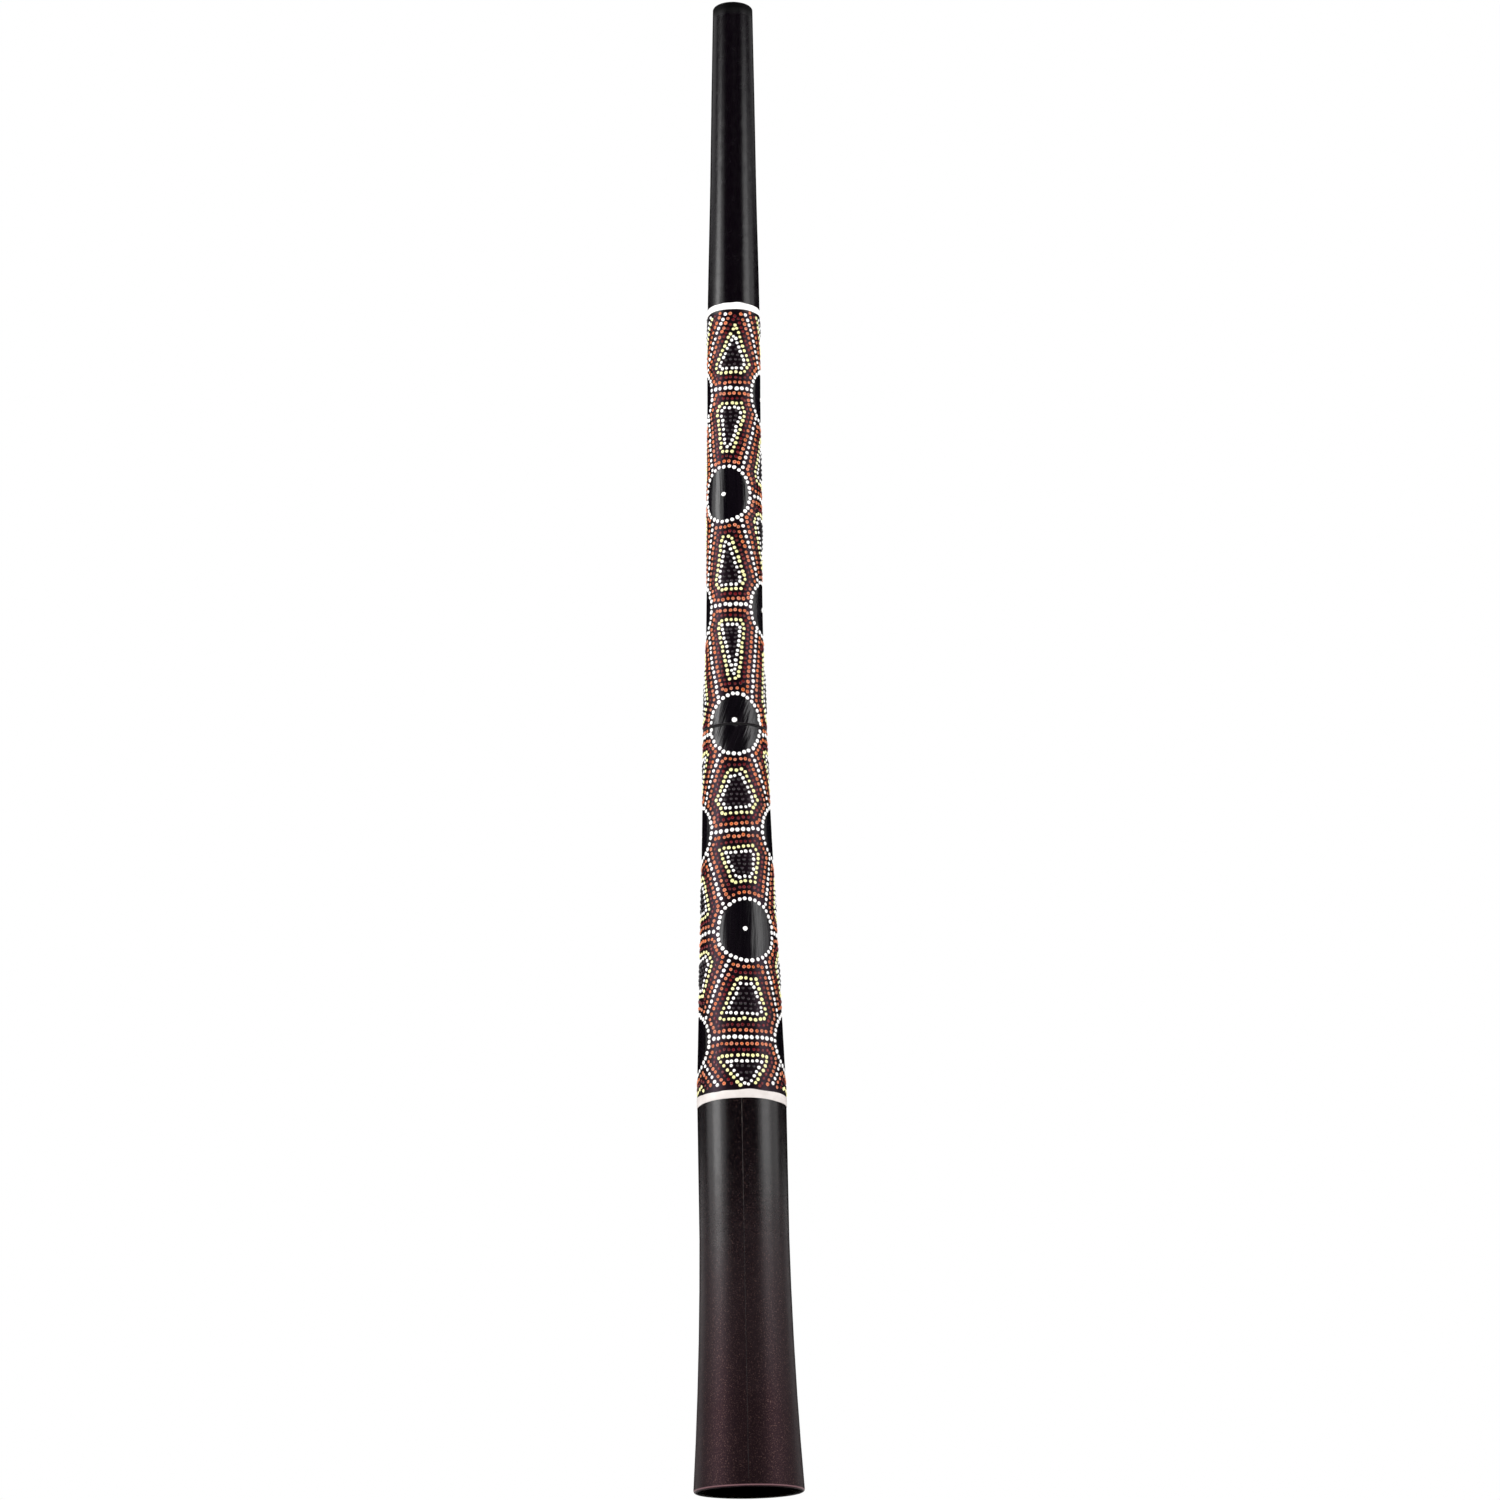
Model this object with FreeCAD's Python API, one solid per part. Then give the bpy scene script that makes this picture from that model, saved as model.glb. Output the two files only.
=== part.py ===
import FreeCAD, Part
import math
import os

from FreeCAD import Placement, Rotation, Vector

# A two-section didgeridoo that stands on its bell. Z is up, the origin is the centre of the bell
# rim, and the front is -Y. Sizes are in millimetres, and a radius is from its section's axis.

# Overall
BELL_SECTION_LENGTH = 634.3  # bell rim to the joint's lower face
MOUTH_SECTION_LENGTH = 664.4  # joint's upper face to the mouth rim, along the leaning axis
MOUTH_LEAN = 0.86  # degrees that the mouth section's axis leans towards +X

# Bell section, outside
BELL_RADIUS = 44.75
FLARE_HEIGHT, FLARE_RADIUS = 76.0, 40.5  # a point half way up the flare
STRAIGHT_BOTTOM = 205.0  # the flare ends here in a straight stretch
STRAIGHT_RADIUS = 36.7
TAPER_OUTLINE = ((0.15, 35.1), (0.48, 31.5), (0.71, 29.1))  # (share of its length, radius)
BELL_RIM_ROUNDING = 2.0

# Bell section, inside
BELL_BORE_RADIUS = 34.6
BELL_BORE_OUTLINE = ((0.14, 30.2), (0.36, 25.6), (0.68, 20.6))  # (share of its length, radius)

# Mouth section, outside and inside
MOUTH_RADIUS = 17.5
MOUTH_OUTLINE = (
    (0.15, 23.8),
    (0.26, 23.7),
    (0.41, 22.8),
    (0.56, 22.5),
    (0.715, 20.5),
    (0.86, 19.0),
)  # (share of the section's length, radius)
MOUTH_BORE_RADIUS = 14.0
MOUTH_BORE_STRAIGHT = 60.0  # length of even bore behind the mouth rim
MOUTH_RIM_ROUNDING = 1.6

# Joint
SLEEVE_RADIUS = 20.0
SLEEVE_WALL = 3.0
SLEEVE_GRIP = 60.0  # length of sleeve inside each section
SLEEVE_CLEARANCE = 0.05  # radial, to the mouth section's socket
SLEEVE_CHAMFER = 0.8
SOCKET_END_GAP = 1.0  # free length past the sleeve's end
SOCKET_END_WALL = 4.9  # wood round the socket's end
JOINT_WALL = 6.9  # wood round the sleeve at the joint's faces
JOINT_CHAMFER = 0.5
GASKET_THICKNESS = 1.4
GASKET_INSET = 0.9  # how far its rim stays inside the wood
GASKET_CLEARANCE = 0.1  # radial, to the sleeve

# O-rings on the sleeve's free end
GROOVE_DEPTH = 1.5
GROOVE_SIDE_GAP = 0.1  # between an O-ring and each side of its groove
O_RING_HEIGHTS = {"lower_o_ring": 18.0, "upper_o_ring": 46.0}  # above the joint's upper face
O_RING_CLEARANCE = 0.02  # to the groove's floor and to the socket

# Brushed paint bands
PAINT_THICKNESS = 0.4
LOWER_BAND_BOTTOM, LOWER_BAND_WIDTH = 315.0, 7.5  # above the bell rim
UPPER_BAND_BOTTOM, UPPER_BAND_WIDTH = 372.5, 6.0  # above the joint, along the mouth section
BAND_MARGIN = 2.5  # straight wood above the lower band

# Worked out from the sizes above
SOCKET_RADIUS = SLEEVE_RADIUS + SLEEVE_CLEARANCE
SOCKET_DEPTH = SLEEVE_GRIP + SOCKET_END_GAP
AIR_RADIUS = SLEEVE_RADIUS - SLEEVE_WALL
JOINT_RADIUS = SLEEVE_RADIUS + JOINT_WALL
STRAIGHT_TOP = LOWER_BAND_BOTTOM + LOWER_BAND_WIDTH + BAND_MARGIN
JOINT_TOP = BELL_SECTION_LENGTH + GASKET_THICKNESS
ROOM = 2 * BELL_RADIUS  # reach of a cutting block past the axis, wider than any section

UP = Vector(0, 0, 1)
LEAN = Placement(Vector(0, 0, JOINT_TOP), Rotation(Vector(0, 1, 0), MOUTH_LEAN))
SEAM_TURNS = {"left": 90, "right": -90}  # where each half starts, in degrees from +X


def straight(*points):
    """Straight edges that join (radius, height) points in turn."""
    places = [Vector(radius, 0, height) for radius, height in points]
    return [Part.makeLine(start, end) for start, end in zip(places, places[1:])]


def curve(points):
    """A smooth edge through (radius, height) points."""
    spline = Part.BSplineCurve()
    spline.interpolate([Vector(radius, 0, height) for radius, height in points])
    return spline.toShape()


def rounding(start, corner, end):
    """A quarter circle from start to end in place of a square corner."""
    start, corner, end = [Vector(radius, 0, height) for radius, height in (start, corner, end)]
    centre = start + end - corner
    middle = centre + (corner - centre) / math.sqrt(2)
    return Part.Arc(start, middle, end).toShape()


def spun(edges, start=0, turn=360):
    """The solid that a closed outline sweeps about the axis, from start degrees past +X."""
    face = Part.Face(Part.Wire(edges))
    face.rotate(Vector(0, 0, 0), UP, start)
    return face.revolve(Vector(0, 0, 0), UP, turn)


def rod(radius, bottom, top):
    return Part.makeCylinder(radius, top - bottom, Vector(0, 0, bottom))


def tube(outer, inner, bottom, top):
    return rod(outer, bottom, top).cut(rod(inner, bottom, top))


def along(outline, start, end):
    """(radius, height) points from (share of the way from start to end, radius) pairs."""
    return [(radius, start + share * (end - start)) for share, radius in outline]


def bell_half(side):
    """Half of the bell section: flare, taper, bore, and a counterbore for the sleeve."""
    top, seat, edge = BELL_SECTION_LENGTH, BELL_SECTION_LENGTH - SLEEVE_GRIP, BELL_RIM_ROUNDING
    flare = [(BELL_RADIUS, edge), (FLARE_RADIUS, FLARE_HEIGHT), (STRAIGHT_RADIUS, STRAIGHT_BOTTOM)]
    shoulder = (JOINT_RADIUS, top - JOINT_CHAMFER)
    taper = [(STRAIGHT_RADIUS, STRAIGHT_TOP)]
    taper += along(TAPER_OUTLINE, STRAIGHT_TOP, top)
    taper += [shoulder]
    bore = [(BELL_BORE_RADIUS, edge)]
    bore += along(BELL_BORE_OUTLINE, 0, seat)
    bore += [(AIR_RADIUS, seat)]
    rim_outer, rim_inner = (BELL_RADIUS - edge, 0), (BELL_BORE_RADIUS + edge, 0)
    chamfered, counterbore = (JOINT_RADIUS - JOINT_CHAMFER, top), (SLEEVE_RADIUS, top)
    outline = [
        curve(flare),
        *straight(flare[-1], taper[0]),
        curve(taper),
        *straight(shoulder, chamfered, counterbore, (SLEEVE_RADIUS, seat), bore[-1]),
        curve(bore),
        rounding(bore[0], (BELL_BORE_RADIUS, 0), rim_inner),
        *straight(rim_inner, rim_outer),
        rounding(rim_outer, (BELL_RADIUS, 0), flare[0]),
    ]
    return spun(outline, SEAM_TURNS[side], 180)


def mouth_outside(paint=0.0):
    """(radius, height) points up the outside of the mouth section, over a coat of paint."""
    points = [(JOINT_RADIUS, 0), (SOCKET_RADIUS + SOCKET_END_WALL, SOCKET_DEPTH)]
    points += along(MOUTH_OUTLINE, 0, MOUTH_SECTION_LENGTH)
    points += [(MOUTH_RADIUS, MOUTH_SECTION_LENGTH - MOUTH_RIM_ROUNDING)]
    return [(radius + paint, height) for radius, height in points]


def mouth_half(side):
    """Half of the mouth section, leaning, with a socket that is square to the joint."""
    rim, edge = MOUTH_SECTION_LENGTH, MOUTH_RIM_ROUNDING
    outside = mouth_outside()
    foot = -2 * JOINT_RADIUS  # spare length, cut off level once the section leans
    rim_outer, rim_inner = (MOUTH_RADIUS - edge, rim), (MOUTH_BORE_RADIUS + edge, rim)
    bore = [(MOUTH_BORE_RADIUS, rim - edge), (MOUTH_BORE_RADIUS, rim - MOUTH_BORE_STRAIGHT)]
    bore += [(AIR_RADIUS, SOCKET_DEPTH), (AIR_RADIUS, foot)]
    outline = [
        curve(outside),
        rounding(outside[-1], (MOUTH_RADIUS, rim), rim_outer),
        *straight(rim_outer, rim_inner),
        rounding(rim_inner, (MOUTH_BORE_RADIUS, rim), bore[0]),
        *straight(*bore, (JOINT_RADIUS, foot), outside[0]),
    ]
    half = spun(outline, SEAM_TURNS[side], 180)
    half.Placement = LEAN
    half = half.cut(rod(ROOM, JOINT_TOP - ROOM, JOINT_TOP))
    half = half.cut(rod(SOCKET_RADIUS, JOINT_TOP, JOINT_TOP + SOCKET_DEPTH))
    bevel = Part.makeCone(JOINT_RADIUS - JOINT_CHAMFER, JOINT_RADIUS, JOINT_CHAMFER)
    bevel.translate(Vector(0, 0, JOINT_TOP))
    waste = rod(ROOM, JOINT_TOP, JOINT_TOP + JOINT_CHAMFER).cut(bevel)
    return half.cut(waste)


def joint_sleeve():
    """The thin tube in the joint, glued below and grooved for O-rings above."""
    bottom, top = BELL_SECTION_LENGTH - SLEEVE_GRIP, JOINT_TOP + SLEEVE_GRIP
    floor = SLEEVE_RADIUS - GROOVE_DEPTH
    half_width = o_ring_cord() + GROOVE_SIDE_GAP
    points = [(SLEEVE_RADIUS, bottom)]
    for height in O_RING_HEIGHTS.values():
        low, high = JOINT_TOP + height - half_width, JOINT_TOP + height + half_width
        points += [(SLEEVE_RADIUS, low), (floor, low), (floor, high), (SLEEVE_RADIUS, high)]
    points += [(SLEEVE_RADIUS, top - SLEEVE_CHAMFER), (SLEEVE_RADIUS - SLEEVE_CHAMFER, top)]
    points += [(AIR_RADIUS, top), (AIR_RADIUS, bottom), points[0]]
    return spun(straight(*points))


def o_ring_cord():
    """Radius of an O-ring's cord, which fills the groove from its floor to the socket."""
    room = SOCKET_RADIUS - (SLEEVE_RADIUS - GROOVE_DEPTH)
    return room / 2 - O_RING_CLEARANCE


def o_ring(height):
    middle = (SOCKET_RADIUS + SLEEVE_RADIUS - GROOVE_DEPTH) / 2
    return Part.makeTorus(middle, o_ring_cord(), Vector(0, 0, JOINT_TOP + height))


def joint_gasket():
    """The loose flat ring that seals the joint's faces."""
    inner = SLEEVE_RADIUS + GASKET_CLEARANCE
    return tube(JOINT_RADIUS - GASKET_INSET, inner, BELL_SECTION_LENGTH, JOINT_TOP)


def lower_band():
    top = LOWER_BAND_BOTTOM + LOWER_BAND_WIDTH
    return tube(STRAIGHT_RADIUS + PAINT_THICKNESS, STRAIGHT_RADIUS, LOWER_BAND_BOTTOM, top)


def upper_band():
    """A ring cut from a thin coat over the whole mouth section, so that it fits the taper."""
    wood, coat = mouth_outside(), mouth_outside(PAINT_THICKNESS)
    ends = straight(coat[-1], wood[-1]), straight(wood[0], coat[0])
    skin = spun([curve(coat), *ends[0], curve(wood), *ends[1]])
    band = skin.common(rod(ROOM, UPPER_BAND_BOTTOM, UPPER_BAND_BOTTOM + UPPER_BAND_WIDTH))
    band.Placement = LEAN
    return band


def build():
    nodes = {
        "lower_band": lower_band(),
        "joint_sleeve": joint_sleeve(),
        "joint_gasket": joint_gasket(),
        "upper_band": upper_band(),
    }
    for side in SEAM_TURNS:
        nodes[f"bell_{side}_half"] = bell_half(side)
        nodes[f"mouth_{side}_half"] = mouth_half(side)
    for name, height in O_RING_HEIGHTS.items():
        nodes[name] = o_ring(height)
    return nodes


os.makedirs("parts", exist_ok=True)
for name, shape in build().items():
    print(name, "valid" if shape.isValid() else "broken", round(shape.Volume), "mm3")
    shape.exportStep(f"parts/{name}.step")
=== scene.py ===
"""Two-section didgeridoo, dot painted, standing on its bell.

The CAD frame gives the tube, bands, sleeve and seals. This script adds the painting, which is black
brushed eyes joined by rows of raised dots, then the glue seam, the materials, the lights and the camera.
Heights are in millimetres up from the floor and azimuths in degrees from the front towards +X, until
on_surface() turns them into metres in the row frame.
"""
import math
import random
from collections import namedtuple
from itertools import product

import bmesh
import bpy
import numpy as np
from mathutils import Matrix, Vector, kdtree, noise
from mathutils.bvhtree import BVHTree


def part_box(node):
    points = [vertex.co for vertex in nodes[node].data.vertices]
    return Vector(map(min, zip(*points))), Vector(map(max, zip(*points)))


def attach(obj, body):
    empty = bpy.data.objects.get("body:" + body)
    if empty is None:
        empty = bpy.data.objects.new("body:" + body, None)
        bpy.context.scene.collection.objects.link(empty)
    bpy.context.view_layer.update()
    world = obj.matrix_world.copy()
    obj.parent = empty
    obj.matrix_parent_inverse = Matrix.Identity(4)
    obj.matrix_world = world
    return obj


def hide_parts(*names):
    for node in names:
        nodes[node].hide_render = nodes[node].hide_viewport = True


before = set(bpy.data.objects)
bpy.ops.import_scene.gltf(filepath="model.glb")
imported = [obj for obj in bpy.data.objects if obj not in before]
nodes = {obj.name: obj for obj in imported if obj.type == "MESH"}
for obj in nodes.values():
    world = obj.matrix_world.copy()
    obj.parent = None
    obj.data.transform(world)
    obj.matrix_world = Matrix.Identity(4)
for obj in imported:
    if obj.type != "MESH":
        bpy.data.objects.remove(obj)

MM = 0.001

Eye = namedtuple("Eye", "azimuth height half_angle half_height upper_corner lower_corner row_rise")


class Dot:
    """One dot of paint: where it sits, how wide it is, and which paint it is."""

    def __init__(self, azimuth, height, width, paint):
        self.azimuth = azimuth
        self.height = height
        self.width = width
        self.paint = paint


def clear_default_scene():
    for name in ("Cube", "Camera", "Light"):
        leftover = bpy.data.objects.get(name)
        if leftover is not None:
            bpy.data.objects.remove(leftover)


clear_default_scene()
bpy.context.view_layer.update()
SEED = 7
chance = random.Random(SEED)
# Unseeded, noise_vector() starts from the clock, and the dots would sit differently each run.
noise.seed_set(SEED)

# ---------------------------------------------------------------- the tube, read from the frame

TUBE_NODES = ("bell_left_half", "bell_right_half", "mouth_left_half", "mouth_right_half")
JOINT_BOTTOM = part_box("joint_gasket")[0].z / MM
JOINT_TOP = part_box("joint_gasket")[1].z / MM
JOINT_MIDDLE = (JOINT_BOTTOM + JOINT_TOP) / 2
MOUTH_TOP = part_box("mouth_right_half")[1].z / MM
FIELD_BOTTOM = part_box("lower_band")[1].z / MM
FIELD_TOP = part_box("upper_band")[0].z / MM
FAR = 0.2
# A ray at the exact seam of two half shells can slip between them, so it is turned by this much.
SEAM_CLEARANCE = 0.0008
# The sections' eased edges at the joint; a ray between them is taken just clear of them instead.
JOINT_EDGE = 0.6


def tube_tree():
    """One search tree over the outside of the four half shells."""
    points, faces = [], []
    for name in TUBE_NODES:
        mesh = nodes[name].data
        start = len(points)
        points.extend(v.co.copy() for v in mesh.vertices)
        faces.extend([start + i for i in p.vertices] for p in mesh.polygons)
    return BVHTree.FromPolygons(points, faces)


tree = tube_tree()


def middle_at(height):
    """X of the tube's middle at a height, from where level rays meet its two sides."""
    right = tree.ray_cast(Vector((FAR, 0, height * MM)), Vector((-1, 0, 0)))[0]
    left = tree.ray_cast(Vector((-FAR, 0, height * MM)), Vector((1, 0, 0)))[0]
    return (right.x + left.x) / 2


LOW_STATION = JOINT_TOP + 20
HIGH_STATION = MOUTH_TOP - 20
LEAN = (middle_at(HIGH_STATION) - middle_at(LOW_STATION)) / ((HIGH_STATION - LOW_STATION) * MM)


def axis_x(height):
    """X in metres of the tube's axis: upright below the joint, leaning to +X above it."""
    return max(0.0, height - JOINT_TOP) * MM * LEAN


def on_surface(azimuth, height):
    """The point of the tube's outside at that azimuth and height, and the way out of it."""
    turn = math.radians(azimuth)
    if abs(math.sin(turn)) < SEAM_CLEARANCE:
        turn += SEAM_CLEARANCE
    out = Vector((math.sin(turn), -math.cos(turn), 0))
    station = height
    if JOINT_BOTTOM - JOINT_EDGE < height < JOINT_TOP + JOINT_EDGE:
        station = JOINT_TOP + JOINT_EDGE if height > JOINT_MIDDLE else JOINT_BOTTOM - JOINT_EDGE
    middle = Vector((axis_x(height), 0, station * MM))
    point, normal = tree.ray_cast(middle + out * FAR, -out)[:2]
    point.z = height * MM
    return point, normal


def radius_at(height):
    """The tube's outer radius in millimetres."""
    hit = on_surface(90, height)[0]
    return (hit.x - axis_x(height)) / MM


# ---------------------------------------------------------------- the plan of the painting

# Each column's eyes from the top down: azimuth, height, half width in degrees, half height, how far across
# the slanting lines leave its upper and lower rim, and how far above its middle the level rows meet it.
# The first and last eyes lie beyond the bands and are not painted.
FRONT = (
    Eye(6, 1035, 54, 24, 0.6, 0.28, 0),
    Eye(-18.5, 840, 54.5, 25, 0.62, 0.56, 0),
    Eye(1.7, 635, 50, 26, 0.62, 0.52, -6),
    Eye(13, 457, 46, 26.5, 0.70, 0.54, 0),
    Eye(9, 275, 44, 26.5, 0.2, 0.6, 0),
)
BACK = (
    Eye(180, 1035, 54, 24, 0.6, 0.32, 0),
    Eye(173, 838, 53, 25, 0.6, 0.62, 0),
    Eye(177, 635, 50, 26, 0.66, 0.58, -5.5),
    Eye(184, 457, 46, 26.5, 0.64, 0.58, 0),
    Eye(179, 275, 44, 26.5, 0.4, 0.6, 0),
)
RIGHT = (
    Eye(89, 1130, 48, 24.5, 0.6, 0.55, 0),
    Eye(90, 932.5, 48, 24.5, 0.4, 0.66, 3.6),
    Eye(84, 741, 48, 24.5, 0.55, 0.70, -0.4),
    Eye(96, 544.5, 48, 24.5, 0.52, 0.64, 0),
    Eye(101, 366, 48, 26.5, 0.74, 0.75, 0),
    Eye(99, 185, 46, 24.5, 0.5, 0.6, 0),
)
LEFT = (
    Eye(-102, 1130, 48, 24.5, 0.6, 0.55, 0),
    Eye(-103, 933.5, 48, 24.5, 0.5, 0.7, 2.6),
    Eye(-101.5, 740, 48, 24.5, 0.6, 0.75, 1.6),
    Eye(-93, 545, 48, 24.5, 0.5, 0.74, -3.2),
    Eye(-95, 366, 48, 26.5, 0.8, 0.75, 0),
    Eye(-94, 185, 46, 24.5, 0.5, 0.6, 0),
)
COLUMNS = (FRONT, RIGHT, BACK, LEFT)

EYE_DOT = 3.5
EYE_PITCH = 4.62
LINE_DOT = 3.15
LINE_PITCH = 4.7
ROW_DOT = 3.6
ROW_PITCH = 4.95
CENTRE_DOT = 4.5
# Rings of dots inside each sub-cell: distance in from the white lines, pitch, dot width and paint.
RINGS = (
    (5.0, 4.4, 3.0, "orange"),
    (9.4, 4.2, 2.7, "red"),
    (13.7, 4.3, 2.95, "cream"),
    (17.8, 4.3, 2.85, "white"),
)
FILL_INSET = 21.4
FILL_ROW_PITCH = 4.1
FILL_PITCH = 4.4
FILL_DOT = 2.9
FILL_SLICE = 0.8
# A ring's distance in is multiplied by one of these, for the side of the sub-cell that it runs beside:
# the level row or the eye's rim, a slanting line, or the flank of a side eye. A flank's share grows with
# half the length of the level row, in millimetres over FLANK_WIDTH.
LEVEL_SHARE = 1.09
SLANT_SHARE = 0.99
FLANK_SHARE = 0.95
FLANK_WIDTH = 21
FLANK_GROWTH = 0.012
FLANK_LIMIT = 1.04
# Insets are as listed at this radius of the tube, and a little less or more where it is slimmer or wider.
INSET_RADIUS = 31.0
INSET_GROWTH = 0.3
# By what share of its width a dot may come out wider or narrower than meant.
EYE_UNEVEN = 0.09
CENTRE_UNEVEN = 0.08
LINE_UNEVEN = 0.1
ROW_UNEVEN = 0.09
RING_UNEVEN = 0.12
# Points along an eye's rim and along each side eye's flank, in a sub-cell's outline.
RIM_POINTS = 9
FLANK_POINTS = 5


def near(azimuth, reference):
    """The same azimuth, counted so that it lies within half a turn of the reference."""
    return azimuth - 360 * round((azimuth - reference) / 360)


def rim_point(eye, share, way):
    """A point of an eye's outline: share of its half width across, on its upper or lower side."""
    height = eye.height + way * eye.half_height * math.sqrt(max(0.0, 1 - share * share))
    return eye.azimuth + share * eye.half_angle, height


def corner_of(eye, way):
    return eye.upper_corner if way > 0 else eye.lower_corner


def field_radius(height):
    """The tube's radius at a height, or at the nearer band for a height beyond the painted field."""
    return radius_at(min(max(height, FIELD_BOTTOM), FIELD_TOP))


def drawn_near(eye, azimuth):
    return eye._replace(azimuth=near(eye.azimuth, azimuth))


def sub_cell(eye, left, right, way):
    """Corner points of the sub-cell that hangs below an eye (way -1) or stands on it (way +1).

    It runs along the eye's rim, down one slanting line to the flank of the side eye, along the level
    row between the two side eyes, and back up the other slanting line.
    """
    left = drawn_near(left, eye.azimuth - 90)
    right = drawn_near(right, eye.azimuth + 90)
    corner = corner_of(eye, way)
    right_flank = np.linspace(corner_of(right, -way), 1, FLANK_POINTS)
    left_flank = np.linspace(1, corner_of(left, -way), FLANK_POINTS)
    points = [rim_point(eye, share, way) for share in np.linspace(-corner, corner, RIM_POINTS)]
    points += [rim_point(right, -share, -way) for share in right_flank]
    points += [rim_point(left, share, -way) for share in left_flank]
    row_right = RIM_POINTS + FLANK_POINTS - 1
    row_left = row_right + 1
    half_width = math.radians(points[row_right][0] - points[row_left][0]) * field_radius(left.height) / 2
    flank = min(FLANK_LIMIT, FLANK_SHARE + (half_width - FLANK_WIDTH) * FLANK_GROWTH)
    shares = [LEVEL_SHARE] * (RIM_POINTS - 1) + [SLANT_SHARE]
    shares += [flank] * (FLANK_POINTS - 1) + [LEVEL_SHARE]
    shares += [flank] * (FLANK_POINTS - 1) + [SLANT_SHARE]
    points[row_right] = (points[row_right][0], right.height + right.row_rise)
    points[row_left] = (points[row_left][0], left.height + left.row_rise)
    return points, np.array(shares)


def cells():
    """Every (eye, left eye, right eye, way) of the lattice."""
    for index, column in enumerate(COLUMNS):
        lefts = COLUMNS[index - 1]
        rights = COLUMNS[(index + 1) % len(COLUMNS)]
        shift = 1 if len(column) < len(lefts) else 0
        for level in range(len(column) - 1):
            left, right = lefts[level + shift], rights[level + shift]
            yield column[level], left, right, -1
            yield column[level + 1], left, right, 1


def uneven(value, share):
    return value * (1 + chance.uniform(-share, share))


def along(start, end, pitch, first, last):
    """Evenly spaced points from start to end, leaving those shares of a pitch free at the ends."""
    (a0, z0), (a1, z1) = start, end
    radius = radius_at((z0 + z1) / 2)
    length = math.hypot(math.radians(a1 - a0) * radius, z1 - z0)
    room = length - (first + last) * pitch
    steps = max(1, round(room / pitch))
    for step in range(steps + 1):
        share = (first * pitch + room * step / steps) / length
        yield a0 + (a1 - a0) * share, z0 + (z1 - z0) * share


OUTLINE_STEPS = 720
CENTRE_SHIFT = 3
JOINT_CENTRE_LIFT = 0.62


def eye_outline(eye):
    """White dots round an eye."""
    radius = radius_at(eye.height)
    across = math.radians(eye.half_angle) * radius
    fine = [math.tau * i / OUTLINE_STEPS for i in range(OUTLINE_STEPS + 1)]
    path = [(across * math.cos(t), eye.half_height * math.sin(t)) for t in fine]
    lengths = np.cumsum([0] + [math.dist(p, q) for p, q in zip(path, path[1:])])
    count = round(lengths[-1] / EYE_PITCH)
    start = chance.random()
    for step in range(count):
        turn = float(np.interp((step + start) / count * lengths[-1], lengths, fine))
        azimuth = eye.azimuth + eye.half_angle * math.cos(turn)
        height = eye.height + eye.half_height * math.sin(turn)
        yield Dot(azimuth, height, uneven(EYE_DOT, EYE_UNEVEN), "white")


def eye_centre(eye):
    """The dot at an eye's middle, or just above the joint where the joint crosses the eye."""
    height = eye.height
    if abs(height - JOINT_MIDDLE) < CENTRE_DOT:
        height = JOINT_TOP + CENTRE_DOT * JOINT_CENTRE_LIFT
    return Dot(eye.azimuth - CENTRE_SHIFT, height, uneven(CENTRE_DOT, CENTRE_UNEVEN), "white")


def distance_to(points, polygon, shares):
    """Distance from each of many points to the nearest side of a polygon, each side's as a share of it."""
    start = polygon
    side = np.roll(polygon, -1, axis=0) - start
    away = points[:, None, :] - start[None, :, :]
    share = np.clip((away * side).sum(2) / np.maximum((side * side).sum(1), 1e-9), 0, 1)
    return (np.linalg.norm(away - share[:, :, None] * side, axis=2) / shares).min(1)


SEARCH_GRID = 41


def deepest(polygon, shares):
    """The point inside a polygon that is farthest from its sides."""
    low, high = polygon.min(0), polygon.max(0)
    columns = np.linspace(low[0], high[0], SEARCH_GRID)
    rows = np.linspace(low[1], high[1], SEARCH_GRID)
    across, up = np.meshgrid(columns, rows)
    points = np.stack([across.ravel(), up.ravel()], 1)
    points = points[inside(points, polygon)]
    return points[distance_to(points, polygon, shares).argmax()]


def inside(points, polygon):
    """Which of many points lie inside a polygon."""
    result = np.zeros(len(points), bool)
    x, y = points[:, 0], points[:, 1]
    for (x0, y0), (x1, y1) in zip(polygon, np.roll(polygon, -1, axis=0)):
        if y0 != y1:
            crosses = (y0 > y) != (y1 > y)
            result ^= crosses & (x < (x1 - x0) * (y - y0) / (y1 - y0) + x0)
    return result


RING_TURNS = 240
RING_REACH = 120.0
RING_HALVINGS = 24


def ring_path(polygon, shares, centre, inset):
    """The closed curve that stays one inset away from a polygon's sides, seen from its deepest point."""
    turns = np.linspace(0, math.tau, RING_TURNS + 1)[:-1]
    ways = np.stack([np.cos(turns), np.sin(turns)], 1)
    near_end = np.zeros(len(turns))
    far_end = np.full(len(turns), RING_REACH)
    for _ in range(RING_HALVINGS):
        half = (near_end + far_end) / 2
        points = centre + ways * half[:, None]
        within = inside(points, polygon) & (distance_to(points, polygon, shares) > inset)
        near_end = np.where(within, half, near_end)
        far_end = np.where(within, far_end, half)
    return centre + ways * near_end[:, None]


def spaced(path, pitch):
    """Points at an even pitch along a closed path."""
    closed = np.vstack([path, path[:1]])
    lengths = np.concatenate([[0], np.cumsum(np.linalg.norm(np.diff(closed, axis=0), axis=1))])
    count = max(3, round(lengths[-1] / pitch))
    places = (np.arange(count) + chance.random()) * lengths[-1] / count
    return np.stack([np.interp(places, lengths, closed[:, axis]) for axis in (0, 1)], 1)


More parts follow.
